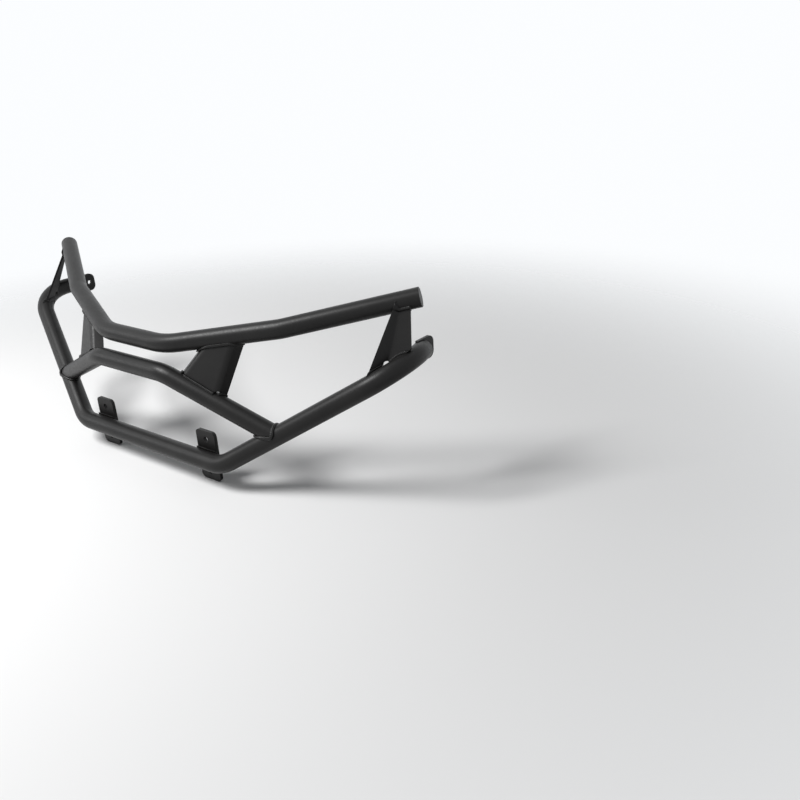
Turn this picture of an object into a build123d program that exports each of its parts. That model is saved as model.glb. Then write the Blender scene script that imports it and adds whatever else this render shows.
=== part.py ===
"""Tubular front bumper for an all-terrain vehicle, a welded frame of bent steel tube.

The frame stands as it does on the vehicle: X runs across it, positive to the machine's left, the
front faces -Y, and Z is up. The origin is the centre of the four frame bolts, on the rear face of
the mounting plates. Only the left half is worked out, and the right half is its mirror image.
"""
import os

from math import cos, radians, sin, tan

from build123d import *

# Tube and sheet stock
tube_diameter = 31.8
tube_wall = 2.0
sheet = 3.0

# Upper tube: a flat front, then two runs on each side, all in one plane that rises to the rear
upper_front_y = -9.9
upper_front_z = 191.2
upper_tilt = 21.8
upper_flat = 157.8
upper_first_run = 210.0
upper_first_angle = 24.0
upper_first_bend = 125.0
upper_second_run = 227.8
upper_second_angle = 33.0
upper_second_bend = 90.0

# Lower hoop: a cross run, two rising side runs and two short legs that turn back to the rear
hoop_cross = 378.8
hoop_corner_bend = 60.0
hoop_tilt = 56.2
hoop_side_angle = 37.2
hoop_side_run = 374.3
hoop_end_bend = 77.8
leg_inboard_angle = 20.2
leg_drop_angle = 4.8
leg_reach = 18.0

# Centre tube: a flat front above the cross run, with a leg down to each side run
centre_front_y = -27.7
centre_front_z = 148.1
centre_flat = 174.6
centre_bend = 65.0
centre_joint_station = 121.6
cope_gap = 0.2

# Folded gussets: stations along the runs, angles round the hoop's end bend, and offset to the front
gusset_offset = 8.0
middle_top_stations = (90.0, 135.5)
middle_foot_stations = (31.0, 105.0)
middle_flange = 21.0
middle_fold_angle = 60.0
middle_fold_radius = 12.0
middle_relief_depth = 19.0
middle_relief_width = 8.0
end_top_stations = (197.0, 213.3)
end_foot_angles = (24.0, 76.0)
end_foot_rise = 10.0
end_foot_corner = 6.0
end_face_angle = 60.0
end_flange_station = 192.0
end_flange_angle = 0.0
end_fold_angle = 40.0
end_fold_radius = 7.0
end_relief_depth = 28.0
end_relief_width = 10.0

# Weld beads
weld_leg = 3.0
weld_width = 6.0

# Mounting plates on the cross run, each with a shallow groove that seats on the tube
plate_thickness = 6.0
plate_seat = 1.0
plate_width = 46.0
plate_height = 92.0
plate_spacing = 280.0
plate_corner = 8.0
frame_bolt_rise = 30.0
frame_bolt_hole = 10.5

# Ears let into slots in the ends of the legs
ear_thickness = 5.0
ear_height = 37.0
ear_length = 42.0
ear_overlap = 16.0
ear_corner = 12.0
ear_hole = 8.5
ear_hole_inset = 13.0

# Plugs in the open ends of the upper tube
cap_flange = 3.0
cap_edge = 1.0
cap_spigot = 14.0
cap_wall = 2.0
cap_rib_count = 3
cap_rib_length = 1.6
cap_rib_height = 0.9
cap_clearance = 0.1

tube_radius = tube_diameter / 2
bore_radius = tube_radius - tube_wall
cutter_reach = 2 * tube_diameter
across = Vector(1, 0, 0)
os.makedirs("parts", exist_ok=True)


def slanted(level, rise, angle):
    """The direction at an angle from one direction towards another, square to it."""
    return level * cos(radians(angle)) + rise * sin(radians(angle))


def whole_route(left):
    """The corners of a route across the whole width, from those of its left half."""
    right = [Vector(-corner.X, corner.Y, corner.Z) for corner in left]
    return right[::-1] + left


def rod(path, radius):
    """A solid rod along a tube's centre line."""
    with BuildPart() as made:
        with BuildSketch(Plane(origin=path @ 0, z_dir=path % 0)):
            Circle(radius)
        sweep(path=path)
    return made.part


def tube(path):
    """A tube along a centre line."""
    with BuildPart() as made:
        add(rod(path, tube_radius))
        add(rod(path, bore_radius), mode=Mode.SUBTRACT)
    return made.part


def nearest(plane, point):
    """The place in a plane's own coordinates that lies nearest to a point."""
    flat = plane.to_local_coords(point)
    return flat.X, flat.Y


def fold_plane(plane, top, bottom, outward, angle):
    """The outer surface of a flange, which leaves a face plane along a fold."""
    fold = (Vector(*bottom) - Vector(*top)).normalized()
    square = Vector(-fold.Y, fold.X) * outward
    flat = slanted(Vector(0, 0, 1), square, angle)
    origin = plane.from_local_coords(Vector(*top))
    return Plane(
        origin=origin,
        x_dir=plane.from_local_coords(Vector(*bottom)) - origin,
        z_dir=plane.from_local_coords(flat) - plane.origin,
    )


def off_line(plane, edge):
    """How far an edge's start lies from the line that a plane's X axis makes."""
    return plane.to_local_coords(edge @ 0).cross(Vector(1, 0, 0)).length


def wedge(plane, outline, flanges, radius, depth):
    """All that lies deeper than a folded surface, from one depth down, inside an outline."""
    with BuildPart() as made:
        with BuildSketch(plane.offset(-depth)):
            with BuildLine():
                Polyline(*outline, close=True)
            make_face()
        extrude(amount=-cutter_reach)
        for flange in flanges:
            split(bisect_by=flange.offset(-depth), keep=Keep.BOTTOM)
        for flange in flanges:
            along = made.edges().filter_by(Axis(flange.origin, flange.x_dir))
            fillet(along.sort_by(lambda edge: off_line(flange, edge))[0], radius=radius - depth)
    return made.part


def folded(plane, outline, flanges, radius, outer, inner, *limits):
    """A folded sheet that reaches from one depth to another, cut off behind its limits."""
    with BuildPart() as made:
        add(wedge(plane, outline, flanges, radius, outer))
        add(wedge(plane, outline, flanges, radius, inner), mode=Mode.SUBTRACT)
        for limit in limits:
            split(bisect_by=limit, keep=Keep.BOTTOM)
    return made.part


def relief(plane, top, foot, depth, width):
    """A cutter for the slot with a round end at the foot of a fold."""
    start = plane.from_local_coords(Vector(*foot))
    up = plane.from_local_coords(Vector(*top)) - start
    with BuildPart() as made:
        with BuildSketch(Plane(origin=start, x_dir=up, z_dir=plane.z_dir)):
            SlotOverall(2 * depth, width)
        extrude(amount=tube_diameter, both=True)
    return made.part


def shared(first, second, *cutters):
    """What two solids share, less the cutters."""
    with BuildPart() as made:
        add(first)
        for cutter in cutters:
            add(cutter, mode=Mode.SUBTRACT)
        add(second, mode=Mode.INTERSECT)
    return made.part


def save(part, name):
    """Label one finished piece and write it."""
    part.label = name
    export_step(part, f"parts/{name}.step")


def save_pair(part, name):
    """Write a left piece and its mirror image."""
    save(part, f"{name}_left")
    save(mirror(part, about=Plane.YZ, mode=Mode.PRIVATE), f"{name}_right")


# Centre lines of the three tubes
upper_rise = Vector(0, cos(radians(upper_tilt)), sin(radians(upper_tilt)))
upper_inner = Vector(upper_flat / 2, upper_front_y, upper_front_z)
upper_first = slanted(across, upper_rise, upper_first_angle)
upper_outer = upper_inner + upper_first * upper_first_run
upper_second = slanted(across, upper_rise, upper_second_angle)
upper_end = upper_outer + upper_second * upper_second_run

hoop_rise = Vector(0, cos(radians(hoop_tilt)), sin(radians(hoop_tilt)))
hoop_corner = Vector(hoop_cross / 2, plate_seat - plate_thickness - tube_radius, 0)
side_way = slanted(across, hoop_rise, hoop_side_angle)
hoop_shoulder = hoop_corner + side_way * hoop_side_run
leg_level = Vector(-sin(radians(leg_inboard_angle)), cos(radians(leg_inboard_angle)), 0)
leg_way = slanted(leg_level, Vector(0, 0, -1), leg_drop_angle)
end_turn = side_way.get_angle(leg_way)
end_setback = hoop_end_bend * tan(radians(end_turn / 2))
leg_end = hoop_shoulder + leg_way * (end_setback + leg_reach)

centre_corner = Vector(centre_flat / 2, centre_front_y, centre_front_z)
centre_joint = hoop_corner + side_way * centre_joint_station
centre_way = (centre_joint - centre_corner).normalized()

with BuildLine() as upper_line:
    FilletPolyline(
        *whole_route([upper_inner, upper_outer, upper_end]),
        radius=[upper_second_bend, upper_first_bend, upper_first_bend, upper_second_bend],
    )
with BuildLine() as hoop_line:
    FilletPolyline(
        *whole_route([hoop_corner, hoop_shoulder, leg_end]),
        radius=[hoop_end_bend, hoop_corner_bend, hoop_corner_bend, hoop_end_bend],
    )
with BuildLine() as centre_line:
    FilletPolyline(*whole_route([centre_corner, centre_joint]), radius=centre_bend)

upper_rod = rod(upper_line.line, tube_radius)
hoop_rod = rod(hoop_line.line, tube_radius)
centre_rod = rod(centre_line.line, tube_radius)
upper_grown = rod(upper_line.line, tube_radius + weld_leg)
hoop_grown = rod(hoop_line.line, tube_radius + weld_leg)
centre_grown = rod(centre_line.line, tube_radius + weld_leg)

# Upper tube
save(tube(upper_line.line), "upper_tube")

# Ear, let into the end of the leg: an upright plate with round corners and one hole
ear_plane = Plane(origin=leg_end, x_dir=(0, 1, 0), z_dir=(1, 0, 0))
ear_reach = ear_length - ear_overlap
with BuildPart() as ear:
    with BuildSketch(ear_plane):
        with Locations((-ear_overlap, 0)):
            Rectangle(ear_length, ear_height, align=(Align.MIN, Align.CENTER))
    extrude(amount=ear_thickness / 2, both=True)
    fillet(ear.edges().filter_by(Axis.X).group_by(Axis.Y)[-1], radius=ear_corner)
    with Locations(ear_plane):
        with Locations((ear_reach - ear_hole_inset, 0)):
            Hole(ear_hole / 2)
save_pair(ear.part, "rear_ear")

# Lower hoop, slotted at its ends for the ears
with BuildPart() as lower_hoop:
    add(tube(hoop_line.line))
    add(ear.part, mode=Mode.SUBTRACT)
    add(mirror(ear.part, about=Plane.YZ, mode=Mode.PRIVATE), mode=Mode.SUBTRACT)
save(lower_hoop.part, "lower_hoop")

# Centre tube, coped to fit round the side runs with a small gap at the root
cope_rod = rod(hoop_line.line, tube_radius + cope_gap)
with BuildPart() as centre_tube:
    add(tube(centre_line.line))
    add(cope_rod, mode=Mode.SUBTRACT)
save(centre_tube.part, "centre_tube")

# Cope welds: tubes of one size meet in two flat curves, one on each side of the joint
cope_grown = rod(hoop_line.line, tube_radius + cope_gap + weld_leg)
with BuildPart() as cope_slabs:
    for way in (side_way, -side_way):
        middle = (way - centre_way).normalized()
        square = middle.cross(way.cross(centre_way))
        with BuildSketch(Plane(origin=centre_joint, x_dir=middle, z_dir=square)):
            Rectangle(cutter_reach, cutter_reach, align=(Align.MIN, Align.CENTER))
        extrude(amount=weld_width / 2, both=True)
    add(centre_grown, mode=Mode.INTERSECT)
save_pair(shared(cope_slabs.part, cope_grown, centre_rod, cope_rod), "cope_weld")

# Middle gusset, between the upper tube's first run and the centre tube's leg
middle_tops = [upper_inner + upper_first * station for station in middle_top_stations]
middle_feet = [centre_corner + centre_way * station for station in middle_foot_stations]
middle_drop = middle_feet[0] + middle_feet[1] - middle_tops[0] - middle_tops[1]
middle_front = middle_drop.cross(upper_first).normalized()
middle_face = Plane(
    origin=middle_tops[0] + middle_front * gusset_offset, x_dir=upper_first, z_dir=middle_front
)
middle_outline = [
    nearest(middle_face, middle_tops[0] - upper_first * middle_flange),
    nearest(middle_face, middle_feet[0] - centre_way * middle_flange),
    nearest(middle_face, middle_feet[1] + centre_way * middle_flange),
    nearest(middle_face, middle_tops[1] + upper_first * middle_flange),
]
middle_folds = [
    (nearest(middle_face, top), nearest(middle_face, foot)) for top, foot in zip(middle_tops, middle_feet)
]
middle_flanges = [
    fold_plane(middle_face, *fold, side, middle_fold_angle) for fold, side in zip(middle_folds, (-1, 1))
]
middle_limits = [
    Plane(origin=flange.origin, x_dir=flange.x_dir, z_dir=flange.y_dir * side).offset(middle_flange)
    for flange, side in zip(middle_flanges, (-1, 1))
]
middle_shape = (middle_face, middle_outline, middle_flanges, middle_fold_radius)
middle_blank = folded(*middle_shape, 0, sheet, *middle_limits)
middle_grown = folded(*middle_shape, -weld_leg, sheet + weld_leg, *middle_limits)
middle_reliefs = [
    relief(middle_face, *fold, middle_relief_depth, middle_relief_width) for fold in middle_folds
]
with BuildPart() as middle_gusset:
    add(middle_blank)
    for cutter in (upper_rod, centre_rod, *middle_reliefs):
        add(cutter, mode=Mode.SUBTRACT)
save_pair(middle_gusset.part, "middle_gusset")

with BuildPart() as middle_weld:
    add(shared(middle_grown, upper_grown, middle_blank, upper_rod))
    add(shared(middle_grown, centre_grown, middle_blank, centre_rod, *middle_reliefs))
save_pair(middle_weld.part, "middle_gusset_weld")

# End gusset, between the upper tube's second run and the hoop's end bend
end_inward = (leg_way - side_way * leg_way.dot(side_way)).normalized()
end_middle = hoop_shoulder - side_way * end_setback + end_inward * hoop_end_bend


def round_bend(angle):
    """The point on the hoop's centre line at an angle round its end bend."""
    return end_middle + slanted(-end_inward, side_way, angle) * hoop_end_bend


end_tops = [upper_outer + upper_second * station for station in end_top_stations]
end_feet = [round_bend(angle) for angle in end_foot_angles]
end_front = (round_bend(end_face_angle) - end_tops[0]).cross(upper_second).normalized()
end_back = Plane(
    origin=end_tops[0] + end_front * (gusset_offset - sheet), x_dir=upper_second, z_dir=-end_front
)
end_fold = (nearest(end_back, end_tops[0]), nearest(end_back, end_feet[0]))
end_foot_corner_place = nearest(end_back, end_feet[1])
end_outline = [
    nearest(end_back, upper_outer + upper_second * end_flange_station),
    nearest(end_back, round_bend(end_flange_angle)),
    end_fold[1],
    (end_foot_corner_place[0], end_foot_corner_place[1] - end_foot_rise),
    nearest(end_back, end_tops[1]),
]
end_flange = fold_plane(end_back, *end_fold, 1, end_fold_angle)
end_shape = (end_back, end_outline, [end_flange], end_fold_radius)
end_blank = folded(*end_shape, 0, sheet)
end_grown = folded(*end_shape, -weld_leg, sheet + weld_leg)
end_relief = relief(end_back, *end_fold, end_relief_depth, end_relief_width)
with BuildPart() as end_gusset:
    add(end_blank)
    for cutter in (upper_rod, hoop_rod, end_relief):
        add(cutter, mode=Mode.SUBTRACT)
    corner = end_back.from_local_coords(Vector(*end_outline[3]))
    upright = end_gusset.edges().filter_by(Axis(corner, end_front))
    fillet(upright.sort_by_distance(corner)[0], radius=end_foot_corner)
save_pair(end_gusset.part, "end_gusset")

with BuildPart() as end_weld:
    add(shared(end_grown, upper_grown, end_blank, upper_rod))
    add(shared(end_grown, hoop_grown, end_blank, hoop_rod, end_relief))
save_pair(end_weld.part, "end_gusset_weld")

# Mounting plates, each with two bolt holes and a shallow groove for the cross run
with BuildPart() as mounting_plate:
    with BuildSketch(Plane.XZ):
        with Locations((plate_spacing / 2, 0)):
            RectangleRounded(plate_width, plate_height, plate_corner)
            with Locations((0, frame_bolt_rise), (0, -frame_bolt_rise)):
                Circle(frame_bolt_hole / 2, mode=Mode.SUBTRACT)
    extrude(amount=plate_thickness)
    add(hoop_rod, mode=Mode.SUBTRACT)
save_pair(mounting_plate.part, "mounting_plate")

# Plate welds, above and below the cross run
with BuildPart() as plate_slab:
    with BuildSketch(Plane.XZ.offset(plate_thickness)):
        with Locations((plate_spacing / 2, 0)):
            Rectangle(plate_width, plate_height)
    extrude(amount=weld_leg)
save_pair(shared(plate_slab.part, hoop_grown, hoop_rod), "plate_weld")

# End caps: plugs with a rounded flange, and a hollow spigot whose ribs grip the bore
cap_plane = Plane(origin=upper_line.line @ 1, z_dir=upper_line.line % 1)
rib_pitch = cap_spigot / (cap_rib_count + 1)
with BuildPart() as end_cap:
    with BuildSketch(cap_plane):
        Circle(tube_radius)
    extrude(amount=cap_flange)
    fillet(end_cap.edges().sort_by(Axis(cap_plane.origin, cap_plane.z_dir))[-1], radius=cap_edge)
    with BuildSketch(cap_plane):
        Circle(bore_radius - cap_clearance - cap_rib_height)
    extrude(amount=-cap_spigot)
    for rib in range(1, cap_rib_count + 1):
        with BuildSketch(cap_plane.offset(-rib * rib_pitch)):
            Circle(bore_radius - cap_clearance)
        extrude(amount=-cap_rib_length)
    with BuildSketch(cap_plane.offset(-cap_spigot)):
        Circle(bore_radius - cap_clearance - cap_rib_height - cap_wall)
    extrude(amount=cap_spigot, mode=Mode.SUBTRACT)
save_pair(end_cap.part, "end_cap")
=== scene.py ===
# %% [markdown]
# # A tubular ATV front bumper
#
# The real thing is a welded frame: three bent steel tubes, four folded sheet gussets, two mounting
# plates and two ears, blasted and powder coated black after welding. The steel construction comes
# in as a fixed frame at its real size, so this notebook is about everything the eye reads on top of
# it: the camera, the coating with its fine grain, the ripples of the welds, the moulded end plugs
# and the light. All lengths are in metres.

# %% Load the steel frame
import heapq
import math

import bpy
from mathutils import Matrix, Vector, kdtree, noise


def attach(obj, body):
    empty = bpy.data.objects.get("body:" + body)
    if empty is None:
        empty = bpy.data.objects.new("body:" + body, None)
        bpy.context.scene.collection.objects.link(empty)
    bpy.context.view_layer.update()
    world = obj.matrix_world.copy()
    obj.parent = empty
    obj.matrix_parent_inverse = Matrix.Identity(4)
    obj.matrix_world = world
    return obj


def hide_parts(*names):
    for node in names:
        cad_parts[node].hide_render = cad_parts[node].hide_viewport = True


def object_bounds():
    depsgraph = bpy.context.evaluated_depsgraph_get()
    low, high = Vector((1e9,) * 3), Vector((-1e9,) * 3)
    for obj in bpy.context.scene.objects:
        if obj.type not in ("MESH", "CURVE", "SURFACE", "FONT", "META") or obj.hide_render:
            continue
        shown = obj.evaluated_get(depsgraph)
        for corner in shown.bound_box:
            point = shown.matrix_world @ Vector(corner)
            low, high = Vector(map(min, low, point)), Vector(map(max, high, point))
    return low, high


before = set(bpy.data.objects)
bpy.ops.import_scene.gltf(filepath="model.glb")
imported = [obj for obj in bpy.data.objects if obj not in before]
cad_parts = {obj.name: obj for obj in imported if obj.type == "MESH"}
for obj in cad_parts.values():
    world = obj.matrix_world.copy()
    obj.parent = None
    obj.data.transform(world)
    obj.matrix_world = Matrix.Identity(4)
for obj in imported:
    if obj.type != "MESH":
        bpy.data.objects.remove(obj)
cad_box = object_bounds()
MM = 0.001
print("pieces of the frame:", len(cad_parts))

# %% [markdown]
# ## The camera
#
# The photograph looks down on the bumper from its left front corner. A camera can be placed by
# trial, or worked out from points whose real positions are known. Here it was worked out, so its
# place and its three angles are plain numbers. Yaw turns it about the vertical, pitch tips it down
# and roll leans it. The focal length is given in pixels, because that is what a fit to a picture
# yields, and is turned into the lens that the sensor width needs.

# %% Place the camera
IMAGE_WIDTH = 800
SENSOR_WIDTH_MM = 36.0
CAMERA_PLACE = (1.1719, -0.7994, 0.6204)
CAMERA_YAW = 38.09
CAMERA_PITCH = 23.16
CAMERA_ROLL = -3.51
FOCAL_PIXELS = 826.0
CENTRE_PIXEL_X = 395.1


def turned_axes(yaw, pitch, roll):
    """The camera's right, up and view directions from its three angles in degrees."""
    yaw, pitch, roll = (math.radians(angle) for angle in (yaw, pitch, roll))
    view = Vector((-math.sin(yaw) * math.cos(pitch), math.cos(yaw) * math.cos(pitch), -math.sin(pitch)))
    level = view.cross(Vector((0, 0, 1))).normalized()
    upright = level.cross(view)
    right = level * math.cos(roll) + upright * math.sin(roll)
    up = upright * math.cos(roll) - level * math.sin(roll)
    return right, up, view


right, up, view = turned_axes(CAMERA_YAW, CAMERA_PITCH, CAMERA_ROLL)
camera_data = bpy.data.cameras.new("camera")
camera_data.sensor_width = SENSOR_WIDTH_MM
camera_data.lens = FOCAL_PIXELS / IMAGE_WIDTH * SENSOR_WIDTH_MM
camera_data.shift_x = 0.5 - CENTRE_PIXEL_X / IMAGE_WIDTH
camera = bpy.data.objects.new("camera", camera_data)
camera_turn = Matrix((right, up, -view)).transposed().to_4x4()
camera.matrix_world = Matrix.Translation(CAMERA_PLACE) @ camera_turn
bpy.context.scene.collection.objects.link(camera)
bpy.context.scene.camera = camera
print("lens in mm:", round(camera_data.lens, 2))

# %% [markdown]
# ## Black powder coat
#
# Powder coat is plastic dust melted onto the steel. It is never quite flat: a fine grain a few
# tenths of a millimetre across breaks up the highlight, and a slow waviness, the orange peel, bends
# it. Image textures could give both, but noise in the object's own coordinates needs no unwrapping
# and keeps its real scale on every piece, so both come from noise through stacked bumps. A Bevel
# node rounds the light on each laser-cut edge, where the melted coat pulls back a little.


# %% Helpers for node materials
def new_material(name):
    """A material with its nodes, its links and its Principled shader."""
    material = bpy.data.materials.new(name)
    material.use_nodes = True
    nodes = material.node_tree.nodes
    return material, nodes, material.node_tree.links, nodes["Principled BSDF"]


def noise_node(nodes, links, scale, detail, roughness=0.5):
    """Noise in the object's coordinates, with a scale in cells for each metre."""
    place = nodes.new("ShaderNodeTexCoord")
    texture = nodes.new("ShaderNodeTexNoise")
    texture.inputs["Scale"].default_value = scale
    texture.inputs["Detail"].default_value = detail
    texture.inputs["Roughness"].default_value = roughness
    links.new(place.outputs["Object"], texture.inputs["Vector"])
    return texture


def remap(nodes, links, source, low, high, socket, start=0.3, end=0.7, kind="LINEAR"):
    """Drive a socket between two limits as a value, by default a noise, goes from start to end."""
    span = nodes.new("ShaderNodeMapRange")
    span.interpolation_type = kind
    span.inputs["From Min"].default_value = start
    span.inputs["From Max"].default_value = end
    span.inputs["To Min"].default_value = low
    span.inputs["To Max"].default_value = high
    links.new(source, span.inputs["Value"])
    links.new(span.outputs["Result"], socket)


def stack_bump(nodes, links, layers, edge_radius, shader):
    """Lay bumps one over another on a shader, each from a noise and a height, over rounded edges."""
    below = nodes.new("ShaderNodeBevel")
    below.inputs["Radius"].default_value = edge_radius
    for texture, height in layers:
        bump = nodes.new("ShaderNodeBump")
        bump.inputs["Distance"].default_value = height
        links.new(texture.outputs["Fac"], bump.inputs["Height"])
        links.new(below.outputs["Normal"], bump.inputs["Normal"])
        below = bump
    links.new(below.outputs["Normal"], shader.inputs["Normal"])


print("helpers:", [helper.__name__ for helper in (new_material, noise_node, remap, stack_bump)])

# %% Powder coat for the steel
COAT_COLOUR = (0.0065, 0.0062, 0.0062, 1)
COAT_COLOUR_THIN = (0.0115, 0.0111, 0.0108, 1)
COAT_SPECULAR = 0.22
STEEL_ROUGHNESS = (0.34, 0.44)
BEAD_ROUGHNESS = (0.28, 0.36)
CLOUDS_PER_METRE = 16
CLOUDS_DETAIL = 3
PEEL_PER_METRE = 260
PEEL_DETAIL = 1
PEEL_HEIGHT = 0.02 * MM
GRAIN_PER_METRE = 1500
GRAIN_DETAIL = 2
GRAIN_HEIGHT = 0.03 * MM
CUT_EDGE_RADIUS = 0.6 * MM

# A Mix node has a set of sockets for each kind of value, so those for colours are reached by number
MIX_FACTOR = 0
MIX_FIRST = 6
MIX_SECOND = 7
MIX_RESULT = 2


def powder_coat(name, roughness):
    """Satin black coat with grain, orange peel and faint clouds where it lies thinner."""
    material, nodes, links, shader = new_material(name)
    grain = noise_node(nodes, links, GRAIN_PER_METRE, GRAIN_DETAIL)
    peel = noise_node(nodes, links, PEEL_PER_METRE, PEEL_DETAIL)
    clouds = noise_node(nodes, links, CLOUDS_PER_METRE, CLOUDS_DETAIL)
    tone = nodes.new("ShaderNodeMix")
    tone.data_type = "RGBA"
    tone.inputs[MIX_FIRST].default_value = COAT_COLOUR
    tone.inputs[MIX_SECOND].default_value = COAT_COLOUR_THIN
    remap(nodes, links, clouds.outputs["Fac"], 0, 1, tone.inputs[MIX_FACTOR])
    links.new(tone.outputs[MIX_RESULT], shader.inputs["Base Color"])
    remap(nodes, links, peel.outputs["Fac"], *roughness, shader.inputs["Roughness"])
    stack_bump(nodes, links, [(peel, PEEL_HEIGHT), (grain, GRAIN_HEIGHT)], CUT_EDGE_RADIUS, shader)
    shader.inputs["Specular IOR Level"].default_value = COAT_SPECULAR
    return material


steel_coat = powder_coat("black_powder_coat", STEEL_ROUGHNESS)
bead_coat = powder_coat("black_powder_coat_on_welds", BEAD_ROUGHNESS)
print("coats:", steel_coat.name, bead_coat.name)

# %% [markdown]
# ## Finish on the steel pieces
#
# The tubes, the folded sheets, the plates and the ears already have their true shape in the frame,
# so they only take the coat. The frame's meshes stay as they are.

# %% Coat the steel
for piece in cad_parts.values():
    piece.data.materials.clear()
    piece.data.materials.append(steel_coat)
print("coated pieces:", len(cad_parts))

# %% [markdown]
# ## Weld beads
#
# A welder pushes the molten pool along in small steps, and each step freezes as a crescent, so a
# bead looks like a row of overlapping coins. The frame holds each bead as a plain strip in the
# corner between two pieces. A ripple could be painted on as a bump, but then the outline of the
# bead stays flat. Here the strip is remeshed into small even faces, smoothed until it is round, and
# each vertex is pushed out by a ripple that follows the bead's length.
#
# To know how far along the bead a vertex lies, the script walks through its neighbours from one
# end, and adds up the steps. That works on straight beads, bent ones and closed rings alike. The
# first cell tries it on a quarter circle, whose true length is known.

# %% Walk along a bead
STEP_REACH = 1.3 * MM
TRIAL_RADIUS = 10 * MM
TRIAL_STEPS = 20


def walk(tree, places, start):
    """The length of the shortest way, in short steps, from one place to each that it reaches."""
    ways = {start: 0.0}
    queue = [(0.0, start)]
    while queue:
        way, here = heapq.heappop(queue)
        if way > ways[here]:
            continue
        for _, there, step in tree.find_range(places[here], STEP_REACH):
            if way + step < ways.get(there, math.inf):
                ways[there] = way + step
                heapq.heappush(queue, (way + step, there))
    return ways


def lengths_along(places):
    """How far along its own bead each place lies, from the end of the bead."""
    tree = kdtree.KDTree(len(places))
    for number, place in enumerate(places):
        tree.insert(place, number)
    tree.balance()
    along = {}
    for number in range(len(places)):
        if number not in along:
            first = walk(tree, places, number)
            far_end = max(first, key=first.get)
            along.update(walk(tree, places, far_end))
    return along


trial_angles = [math.pi / 2 * step / TRIAL_STEPS for step in range(TRIAL_STEPS + 1)]
trial_arc = [Vector((math.cos(angle), math.sin(angle), 0)) * TRIAL_RADIUS for angle in trial_angles]
trial_walk = max(lengths_along(trial_arc).values())
trial_length = math.pi / 2 * TRIAL_RADIUS
print("quarter circle in mm, walked and true:", round(trial_walk / MM, 2), round(trial_length / MM, 2))

# %% Round a plain strip and ripple it
BEAD_VOXEL = 0.5 * MM
BEAD_SMOOTHING = 7
BEAD_SMOOTHING_FACTOR = 0.5
BEAD_SWELL = 0.15 * MM
RIPPLE_PITCH = 2.6 * MM
RIPPLE_HEIGHT = 0.4 * MM
CRESCENT_POWER = 0.7
CRESCENT_MIDDLE = 0.5
WANDER_PER_METRE = 90
WANDER_HEIGHT = 0.25 * MM


def evaluated_copy(piece):
    """A new mesh of a piece with its modifiers applied."""
    bpy.context.view_layer.update()
    return bpy.data.meshes.new_from_object(piece.evaluated_get(bpy.context.evaluated_depsgraph_get()))


def rounded_strip(node, name):
    """A copy of a plain strip in small even faces, with its corners melted away."""
    piece = bpy.data.objects.new(name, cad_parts[node].data.copy())
    bpy.context.scene.collection.objects.link(piece)
    remesh = piece.modifiers.new("remesh", "REMESH")
    remesh.mode = "VOXEL"
    remesh.voxel_size = BEAD_VOXEL
    smooth = piece.modifiers.new("smooth", "SMOOTH")
    smooth.factor = BEAD_SMOOTHING_FACTOR
    smooth.iterations = BEAD_SMOOTHING
    piece.data = evaluated_copy(piece)
    piece.modifiers.clear()
    return piece


def ripple(mesh):
    """Push each vertex out by the frozen crescent that it lies on."""
    normals = [vertex.normal.copy() for vertex in mesh.vertices]
    places = [vertex.co.copy() for vertex in mesh.vertices]
    for number, way in lengths_along(places).items():
        wander = noise.noise(places[number] * WANDER_PER_METRE)
        crescent = abs(math.sin(math.pi * way / RIPPLE_PITCH)) ** CRESCENT_POWER
        push = BEAD_SWELL + RIPPLE_HEIGHT * (crescent - CRESCENT_MIDDLE) + WANDER_HEIGHT * wander
        mesh.vertices[number].co = places[number] + normals[number] * push
    mesh.shade_smooth()


def weld_bead(node):
    """A rippled bead that stands for a plain one of the frame."""
    piece = rounded_strip(node, node.replace("weld", "bead"))
    ripple(piece.data)
    piece.data.materials.clear()
    piece.data.materials.append(bead_coat)
    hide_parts(node)
    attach(piece, "root")
    return piece


beads = [weld_bead(node) for node in sorted(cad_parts) if "weld" in node]
for bead in beads:
    print(bead.name, "faces:", len(bead.data.polygons))

# %% [markdown]
# ## The end plugs
#
# The open ends of the upper tube are closed with plugs, moulded in one shot from a tough plastic.
# Round moulded parts are turned shapes, so the plug is one profile spun about the tube's axis: a
# face that sinks a little towards its middle, where the plastic was thickest, a rounded rim, a small
# round at the back of the flange that shows as a fine seam against the tube, and a ribbed spigot.
# Blender can spin a profile by itself, but here a loop writes out the rings of vertices, because
# then they come in the same order on each run.
#
# Moulded plastic is duller than the coat and has a finer grain, eroded into the mould by sparks.

# %% Moulded plastic
PLUG_COLOUR = (0.016, 0.016, 0.0165, 1)
PLUG_ROUGHNESS = (0.48, 0.6)
PLUG_EDGE_RADIUS = 0.3 * MM
PLUG_GRAIN_PER_METRE = 2600
PLUG_GRAIN_DETAIL = 3
PLUG_GRAIN_ROUGHNESS = 0.7
PLUG_GRAIN_HEIGHT = 0.05 * MM
FLOW_PER_METRE = 60
FLOW_DETAIL = 2


def moulded_plastic(name):
    """Dull black plastic with a fine eroded grain and uneven gloss."""
    material, nodes, links, shader = new_material(name)
    grain = noise_node(nodes, links, PLUG_GRAIN_PER_METRE, PLUG_GRAIN_DETAIL, PLUG_GRAIN_ROUGHNESS)
    flow = noise_node(nodes, links, FLOW_PER_METRE, FLOW_DETAIL)
    shader.inputs["Base Color"].default_value = PLUG_COLOUR
    remap(nodes, links, flow.outputs["Fac"], *PLUG_ROUGHNESS, shader.inputs["Roughness"])
    stack_bump(nodes, links, [(grain, PLUG_GRAIN_HEIGHT)], PLUG_EDGE_RADIUS, shader)
    return material


plug_plastic = moulded_plastic("black_plug_plastic")
print("plastic:", plug_plastic.name)

# %% Find where a plug sits
SIDES = ("left", "right")
FLAT_DIGITS = 2


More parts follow.
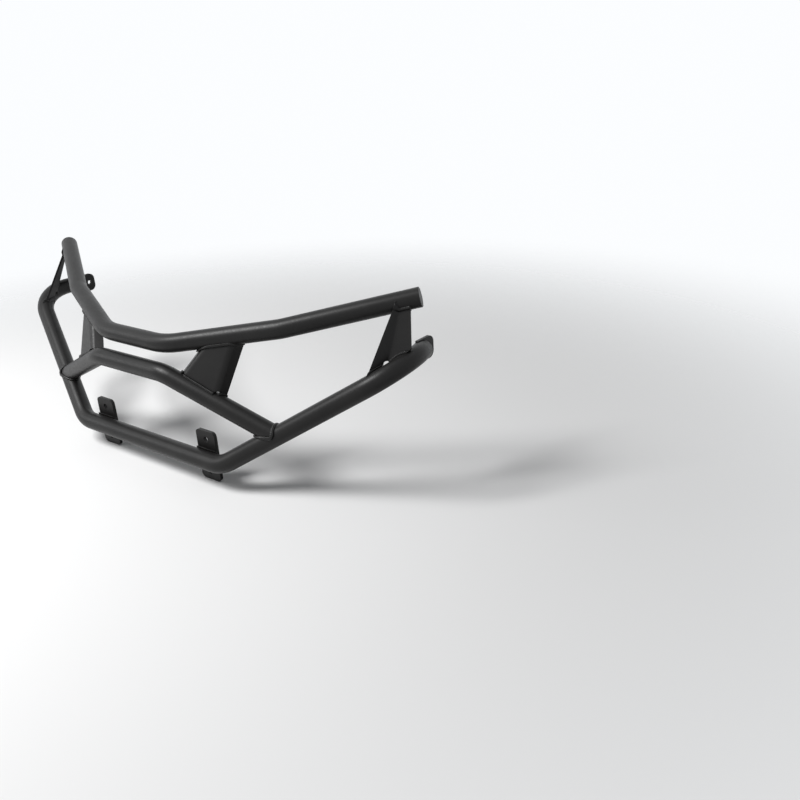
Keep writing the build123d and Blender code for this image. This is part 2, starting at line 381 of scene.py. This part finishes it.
def flat_end(mesh):
    """The centre and the normal of the largest flat face that looks away from the middle."""
    groups = {}
    for face in (face for face in mesh.polygons if face.normal.x * face.center.x > 0):
        key = tuple(round(value, FLAT_DIGITS) for value in face.normal)
        groups.setdefault(key, []).append(face)
    faces = max(groups.values(), key=lambda group: sum(face.area for face in group))
    area = sum(face.area for face in faces)
    centre = sum((face.center * face.area for face in faces), Vector()) / area
    normal = sum((face.normal * face.area for face in faces), Vector()).normalized()
    return centre, normal


for side in SIDES:
    centre, outward = flat_end(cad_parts["end_cap_" + side].data)
    print(side, [round(value, 4) for value in centre], [round(value, 3) for value in outward])

# %% Spin the plug
PLUG_RADIUS = 15.75 * MM
PLUG_FLANGE = 3.0 * MM
PLUG_RIM = 1.0 * MM
PLUG_SEAM = 0.7 * MM
PLUG_SINK = 0.35 * MM
SPIGOT_RADIUS = 12.9 * MM
SPIGOT_LENGTH = 14.0 * MM
SPIGOT_WALL = 2.0 * MM
RIB_COUNT = 3
RIB_HEIGHT = 0.9 * MM
RIB_HALF = 0.8 * MM
SINK_SHARES = (0, 0.25, 0.5, 0.75)
QUARTER_STEPS = 6
SPIN_STEPS = 128
SHARP_ANGLE = 40


def quarter(radius, middle_radius, middle_depth, start):
    """Points on a quarter circle of a profile, from a start angle in degrees, as radius and depth."""
    points = []
    for step in range(QUARTER_STEPS + 1):
        angle = math.radians(start + 90 * step / QUARTER_STEPS)
        across = middle_radius + radius * math.sin(angle)
        depth = middle_depth - radius * math.cos(angle)
        points.append((across, depth))
    return points


def plug_profile():
    """The plug's section, from the middle of its face round to the inside of the spigot."""
    face_edge = PLUG_RADIUS - PLUG_RIM
    points = [(face_edge * share, PLUG_SINK * math.cos(math.pi / 2 * share) ** 2) for share in SINK_SHARES]
    points += quarter(PLUG_RIM, face_edge, PLUG_RIM, 0)
    points += quarter(PLUG_SEAM, PLUG_RADIUS - PLUG_SEAM, PLUG_FLANGE - PLUG_SEAM, 90)
    points.append((SPIGOT_RADIUS, PLUG_FLANGE))
    for rib in range(1, RIB_COUNT + 1):
        depth = PLUG_FLANGE + SPIGOT_LENGTH * rib / (RIB_COUNT + 1)
        points.append((SPIGOT_RADIUS, depth - RIB_HALF))
        points.append((SPIGOT_RADIUS + RIB_HEIGHT, depth))
        points.append((SPIGOT_RADIUS, depth + RIB_HALF))
    end = PLUG_FLANGE + SPIGOT_LENGTH
    points += [(SPIGOT_RADIUS, end), (SPIGOT_RADIUS - SPIGOT_WALL, end)]
    points += [(SPIGOT_RADIUS - SPIGOT_WALL, PLUG_FLANGE), (0, PLUG_FLANGE)]
    return points


def spun_mesh(name, profile, centre, axis):
    """A closed mesh from a profile of radius and depth points, spun about an axis.

    A point on the axis stays one vertex, and any other becomes a ring of them.
    """
    sideways = axis.orthogonal().normalized()
    upwards = axis.cross(sideways)
    places = []
    rings = []
    for radius, depth in profile:
        steps = SPIN_STEPS if radius else 1
        rings.append([len(places) + step % steps for step in range(SPIN_STEPS + 1)])
        for step in range(steps):
            angle = math.tau * step / SPIN_STEPS
            turned = sideways * math.cos(angle) + upwards * math.sin(angle)
            places.append(centre + turned * radius - axis * depth)
    faces = []
    for ring, following in zip(rings, rings[1:]):
        for step in range(SPIN_STEPS):
            corners = (ring[step], following[step], following[step + 1], ring[step + 1])
            faces.append(list(dict.fromkeys(corners)))
    mesh = bpy.data.meshes.new(name)
    mesh.from_pydata(places, [], faces)
    mesh.shade_smooth()
    mesh.set_sharp_from_angle(angle=math.radians(SHARP_ANGLE))
    return mesh


def end_plug(side):
    """A plug spun about the tube's axis, which stands for the frame's plain one."""
    node = "end_cap_" + side
    name = "end_plug_" + side
    centre, outward = flat_end(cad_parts[node].data)
    mesh = spun_mesh(name, plug_profile(), centre, outward)
    mesh.materials.append(plug_plastic)
    piece = bpy.data.objects.new(name, mesh)
    bpy.context.scene.collection.objects.link(piece)
    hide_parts(node)
    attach(piece, "root")
    return piece


for side in SIDES:
    plug = end_plug(side)
    print(plug.name, "faces:", len(plug.data.polygons))

# %% [markdown]
# ## Light
#
# A black part is drawn by what it reflects. One soft light stands above, to the front and towards
# the bumper's right end, and gives each tube the long highlight near its top, while the undersides
# stay dark. A weak one, lower on the same side, opens the faces of the sheets. The lamps are kept at
# the level where a colour renders as it is written, so the background isn't made white by them but
# by the world itself: what the camera and the reflections see of it is white, and what lights the
# object is dimmer.

# %% Light the bumper
LOOK_AT = Vector((0, 0.05, 0.12))


def soft_light(name, place, size, power):
    """A square soft light at a place, turned to the bumper."""
    data = bpy.data.lights.new(name, "AREA")
    data.shape = "SQUARE"
    data.size = size
    data.energy = power
    lamp = bpy.data.objects.new(name, data)
    lamp.location = place
    lamp.rotation_euler = (LOOK_AT - Vector(place)).to_track_quat("-Z", "Y").to_euler()
    bpy.context.scene.collection.objects.link(lamp)
    print(name, "in watts:", power)


soft_light("top_light", place=(-0.7, -1.1, 1.95), size=0.9, power=60)
soft_light("side_light", place=(-1.8, -1.2, 0.9), size=0.8, power=6)

# %% Make the surroundings white
WORLD_COLOUR = (0.97, 0.985, 1.0, 1)
WORLD_LIGHT = 0.2
SEEN_WHITE = 1.0


def seen_rays(nodes, links):
    """One where a ray comes from the camera, from a reflection or through something clear."""
    path = nodes.new("ShaderNodeLightPath")
    seen = path.outputs["Is Camera Ray"]
    for kind in ("Is Glossy Ray", "Is Transmission Ray"):
        either = nodes.new("ShaderNodeMath")
        either.operation = "MAXIMUM"
        links.new(seen, either.inputs[0])
        links.new(path.outputs[kind], either.inputs[1])
        seen = either.outputs[0]
    return seen


def white_surroundings(name):
    """A world that is white where it is seen, and dimmer where it only lights."""
    world = bpy.data.worlds.new(name)
    world.use_nodes = True
    nodes = world.node_tree.nodes
    links = world.node_tree.links
    backdrop = nodes["Background"]
    backdrop.inputs["Color"].default_value = WORLD_COLOUR
    seen = seen_rays(nodes, links)
    remap(nodes, links, seen, WORLD_LIGHT, SEEN_WHITE, backdrop.inputs["Strength"], start=0, end=1)
    return world


bpy.context.scene.world = white_surroundings("studio")
print("world light:", WORLD_LIGHT)

# %% [markdown]
# ## Floor
#
# The floor is plain and pale and takes the bumper's soft shadow. Its edge would show as a horizon,
# so it fades into the white surroundings with the distance from the bumper.

# %% Paint for the floor
FADE_START = 0.6
FADE_END = 1.9
FLOOR_COLOUR = (0.86, 0.86, 0.86, 1)
FLOOR_ROUGHNESS = 0.9


def fading_paint(name):
    """Matt pale paint that turns clear with the distance from the middle of the floor."""
    material, nodes, links, shader = new_material(name)
    shader.inputs["Base Color"].default_value = FLOOR_COLOUR
    shader.inputs["Roughness"].default_value = FLOOR_ROUGHNESS
    place = nodes.new("ShaderNodeTexCoord")
    distance = nodes.new("ShaderNodeVectorMath")
    distance.operation = "LENGTH"
    clear = nodes.new("ShaderNodeBsdfTransparent")
    fade = nodes.new("ShaderNodeMixShader")
    links.new(place.outputs["Object"], distance.inputs[0])
    reach = distance.outputs["Value"]
    remap(nodes, links, reach, 0, 1, fade.inputs["Fac"], start=FADE_START, end=FADE_END, kind="SMOOTHSTEP")
    links.new(shader.outputs["BSDF"], fade.inputs[1])
    links.new(clear.outputs["BSDF"], fade.inputs[2])
    links.new(fade.outputs["Shader"], nodes["Material Output"].inputs["Surface"])
    return material


floor_paint = fading_paint("pale_floor")
print("floor paint:", floor_paint.name)

# %% Lay the floor
FLOOR_GAP = 1 * MM
FLOOR_HALF = 6.0
floor_height = cad_box[0][2] - FLOOR_GAP
corners = [(x * FLOOR_HALF, y * FLOOR_HALF, 0) for x, y in ((-1, -1), (1, -1), (1, 1), (-1, 1))]
floor_mesh = bpy.data.meshes.new("floor")
floor_mesh.from_pydata(corners, [], [(0, 1, 2, 3)])
floor_mesh.materials.append(floor_paint)
floor = bpy.data.objects.new("floor", floor_mesh)
floor.location = (0, 0, floor_height)
bpy.context.scene.collection.objects.link(floor)
print("floor height:", round(floor_height, 4))

# %% [markdown]
# ## The size
#
# The dressed bumper has to keep the size of its steel frame. So the box of the frame, measured
# before anything was added, is written out. The Standard view leaves the colours as they are
# written.

# %% Write the frame's box and finish
bpy.context.scene.view_settings.view_transform = "Standard"
print("cad box:", cad_box)
